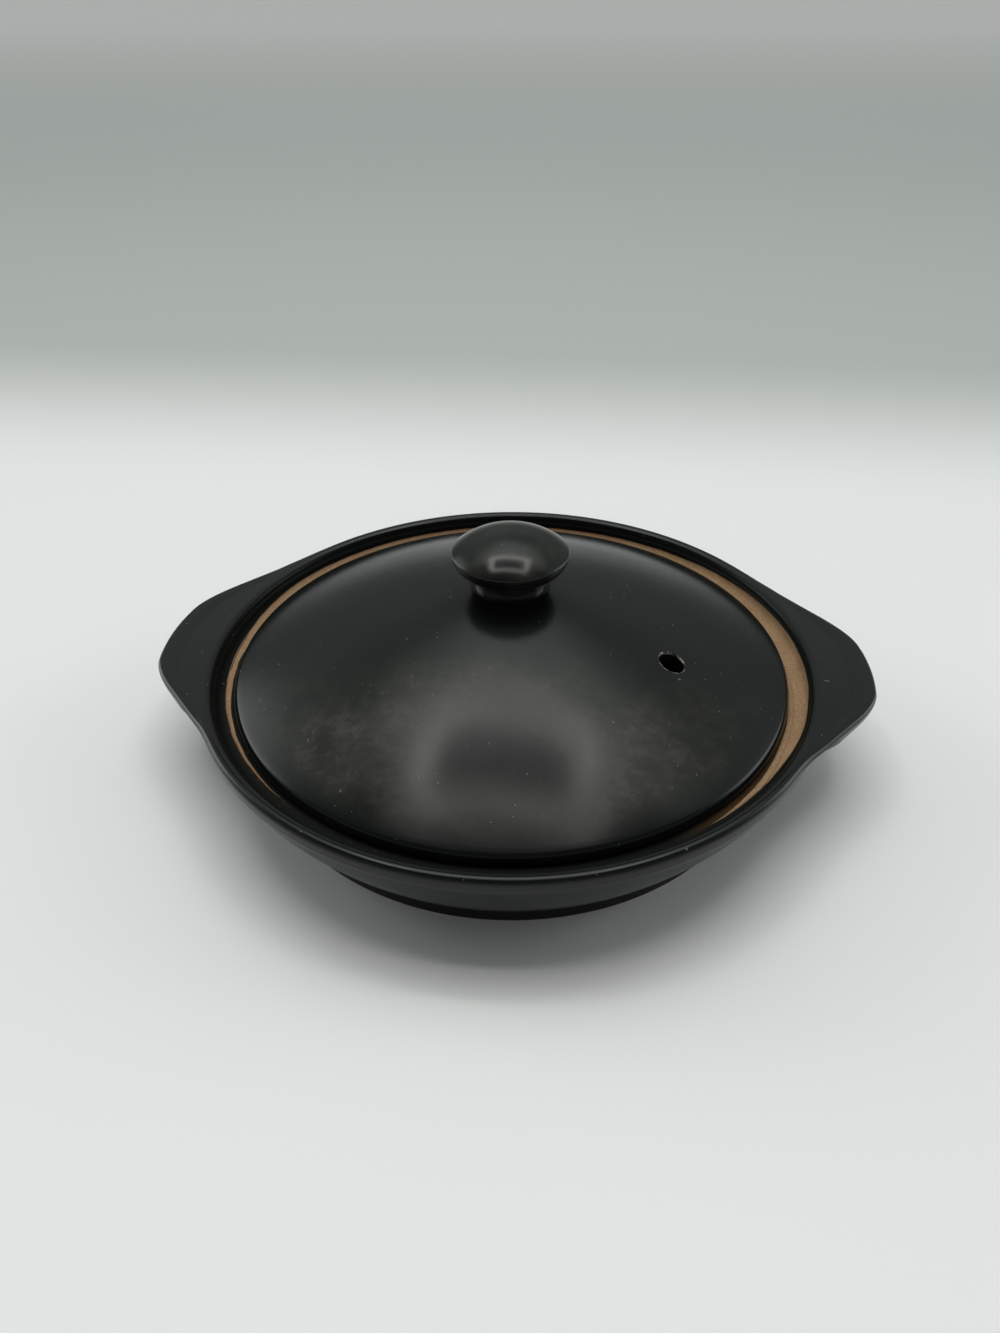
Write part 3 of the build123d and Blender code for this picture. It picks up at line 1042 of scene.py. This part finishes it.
class SANDPOT_OT_lid(bpy.types.Operator):
    """Turn the lid and cut its steam hole"""

    bl_idname = "sandpot.lid"
    bl_label = "Lid"

    def execute(self, context):
        sizes = context.scene.sandpot_lid
        lid = spin_section("sand_pot_lid", self.section(sizes), LID_STEPS)
        self.cut_hole(lid, sizes)
        bpy.ops.object.shade_smooth_by_angle(angle=SHARP_TURN)
        lid.data.materials.append(make_lid_glaze(context.scene.sandpot_glaze, sizes))
        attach(lid, "lid")
        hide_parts("lid_dome")
        return {"FINISHED"}

    def section(self, sizes):
        """Half a section, from the middle of the top round the edge to the middle beneath."""
        heel_round = 0.0006
        groove_round = 0.0008
        edge_gap = 0.0034
        toe_gap = 0.0018
        probe, run = 0.001, 0.01
        apex = LID_HIGH[2] - sizes.crown_sink
        ceiling = apex - sizes.wall
        seat = sizes.seat_radius
        radius = LID_HIGH[0]
        inner_rim = radius - sizes.foot_width
        corner = (radius, LID_SEAT + sizes.edge_height)
        toe = (radius, LID_SEAT)
        heel = (inner_rim, LID_SEAT)
        groove = (inner_rim, LID_SEAT + sizes.foot_height)
        self.outer = DomeArc((seat, apex), corner, sizes.dome_radius)
        self.inner = DomeArc((seat, ceiling), groove, sizes.dome_radius - sizes.wall)
        slope = (self.outer.height(radius) - self.outer.height(radius - probe)) / probe
        before = (radius - run, corner[1] - slope * run)
        inward = (inner_rim - run, self.inner.height(inner_rim - run))
        section = line((0, apex), (seat, apex), 4)
        section += self.outer.points(seat, radius - edge_gap, 44)
        section += round_corner(before, corner, toe, sizes.edge_round * 0.9, 9)
        section += round_corner(corner, toe, heel, sizes.foot_round, 6)
        section += line((radius - toe_gap, LID_SEAT), (inner_rim + 2 * heel_round, LID_SEAT), 3)
        section += round_corner(toe, heel, groove, heel_round, 3)
        section += round_corner(heel, groove, inward, groove_round, 4)
        section += list(reversed(self.inner.points(seat, inner_rim - 1.5 * groove_round, 30)))
        section += line((seat, ceiling), (0, ceiling), 3)[1:]
        return section + [(0, ceiling)]

    def cut_hole(self, lid, sizes):
        """Cut the steam hole with a plug that flares where it meets the outside of the lid."""
        reach, turn = sizes.hole_reach, sizes.hole_turn
        middle = Vector((reach * cos(turn), reach * sin(turn)))
        bpy.ops.object.select_all(action="DESELECT")
        bpy.ops.mesh.primitive_circle_add(
            vertices=PLUG_STEPS, radius=sizes.hole_radius, fill_type="NGON",
            location=(middle.x, middle.y, PLUG_BASE),
        )
        plug = bpy.context.object
        bpy.ops.object.transform_apply(location=True)
        bpy.ops.object.mode_set(mode="EDIT")
        bpy.ops.mesh.select_all(action="SELECT")
        for _ in PLUG_RINGS:
            bpy.ops.mesh.extrude_region_move(TRANSFORM_OT_translate={"value": (0, 0, PLUG_LAYER)})
        bpy.ops.object.mode_set(mode="OBJECT")
        for vertex in plug.data.vertices:
            level = round((vertex.co.z - PLUG_BASE) / PLUG_LAYER)
            if level == 0:
                continue
            share, rise = PLUG_RINGS[level - 1]
            place = middle + (Vector(vertex.co.xy) - middle) * share
            vertex.co = (place.x, place.y, self.outer.height(place.length) + rise)
        bpy.ops.object.mode_set(mode="EDIT")
        bpy.ops.mesh.select_all(action="SELECT")
        bpy.ops.mesh.normals_make_consistent(inside=False)
        bpy.ops.object.mode_set(mode="OBJECT")
        bpy.ops.object.select_all(action="DESELECT")
        lid.select_set(True)
        bpy.context.view_layer.objects.active = lid
        cut = lid.modifiers.new("steam_hole", "BOOLEAN")
        cut.operation = "DIFFERENCE"
        cut.solver = "EXACT"
        cut.object = plug
        bpy.ops.object.modifier_apply(modifier=cut.name)
        bpy.data.objects.remove(plug)


# The share of the cap's underside that has the neck's duller glaze
NECK_SHARE = 0.8
# Steps of the knob's collar, of the cap's underside and of its top
COLLAR_STEPS = 6
UNDERSIDE_STEPS = 16
CAP_STEPS = 24


class SANDPOT_OT_knob(bpy.types.Operator):
    """Turn the mushroom knob"""

    bl_idname = "sandpot.knob"
    bl_label = "Knob"

    def execute(self, context):
        sizes = context.scene.sandpot_lid
        knob = spin_section("sand_pot_knob", self.section(sizes), KNOB_STEPS)
        bpy.ops.object.shade_smooth_by_angle(angle=KNOB_SHARP_TURN)
        look = context.scene.sandpot_glaze
        knob.data.materials.append(make_knob_glaze(look, "knob_black_glaze", KNOB_SHINE))
        knob.data.materials.append(make_knob_glaze(look, "knob_neck_glaze", NECK_SHINE))
        neck_top = KNOB_LOW[2] + sizes.neck_height + sizes.cap_under * NECK_SHARE
        for face in knob.data.polygons:
            if face.center.z < neck_top:
                face.material_index = 1
        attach(knob, "lid")
        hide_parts("lid_knob")
        return {"FINISHED"}

    def section(self, sizes):
        """Half a section, from the middle of the foot round the ridge to the middle of the cap."""
        gap = 0.0004
        brow_inset, brow_rise = 0.00005, 0.0001
        cap_inset, cap_start = 0.0005, 0.0009
        under_drop = 0.003
        low = KNOB_LOW[2] - sizes.crown_sink
        radius = KNOB_HIGH[0]
        neck = sizes.neck_radius
        collar = sizes.collar
        under = KNOB_LOW[2] + sizes.neck_height
        ridge = under + sizes.cap_under
        rise = KNOB_HIGH[2] - ridge
        crown = (radius * radius + rise * rise) / (2 * rise)

        def cap(reach):
            """The cap's section at a distance from its middle."""
            return reach, ridge + sqrt(crown * crown - reach * reach) - (crown - rise)

        section = line((0, low), (neck + collar, low), 3)
        for step in range(COLLAR_STEPS + 1):
            lean = pi / 2 * step / COLLAR_STEPS
            section.append((neck + collar * (1 - sin(lean)), low + collar * (1 - cos(lean))))
        section += line((neck, low + collar + gap), (neck, under - gap), 3)
        for step in range(UNDERSIDE_STEPS):
            lean = pi / 2 * step / UNDERSIDE_STEPS
            section.append((neck + (radius - neck) * sin(lean), ridge - sizes.cap_under * cos(lean)))
        below = (radius, ridge - under_drop)
        brow = (radius - brow_inset, ridge + brow_rise)
        section += round_corner(below, brow, cap(radius - cap_inset), sizes.ridge_round, 5)
        for step in range(1, CAP_STEPS + 1):
            section.append(cap((radius - cap_start) * (1 - step / CAP_STEPS)))
        return section


class SANDPOT_PT_panel(bpy.types.Panel):
    """The settings of the pot and the buttons that make it."""

    bl_label = "Sand Pot"
    bl_idname = "SANDPOT_PT_panel"
    bl_space_type = "VIEW_3D"
    bl_region_type = "UI"
    bl_category = "Sand Pot"

    def draw(self, context):
        scene = context.scene
        for look in (scene.sandpot_pot, scene.sandpot_lid, scene.sandpot_studio, scene.sandpot_glaze):
            for name in look.bl_rna.properties.keys():
                if name not in ("rna_type", "name"):
                    self.layout.prop(look, name)
        for operator in OPERATORS:
            self.layout.operator(operator.bl_idname)


OPERATORS = (SANDPOT_OT_stage, SANDPOT_OT_pot, SANDPOT_OT_lid, SANDPOT_OT_knob)
CLASSES = (PotSizes, LidSizes, StudioLook, GlazeLook) + OPERATORS + (SANDPOT_PT_panel,)


def register():
    for kind in CLASSES:
        bpy.utils.register_class(kind)
    bpy.types.Scene.sandpot_pot = bpy.props.PointerProperty(type=PotSizes)
    bpy.types.Scene.sandpot_lid = bpy.props.PointerProperty(type=LidSizes)
    bpy.types.Scene.sandpot_studio = bpy.props.PointerProperty(type=StudioLook)
    bpy.types.Scene.sandpot_glaze = bpy.props.PointerProperty(type=GlazeLook)


def unregister():
    del bpy.types.Scene.sandpot_glaze
    del bpy.types.Scene.sandpot_studio
    del bpy.types.Scene.sandpot_lid
    del bpy.types.Scene.sandpot_pot
    for kind in reversed(CLASSES):
        bpy.utils.unregister_class(kind)


def main():
    register()
    bpy.ops.sandpot.stage()
    bpy.ops.sandpot.pot()
    bpy.ops.sandpot.lid()
    bpy.ops.sandpot.knob()


if __name__ == "__main__":
    main()
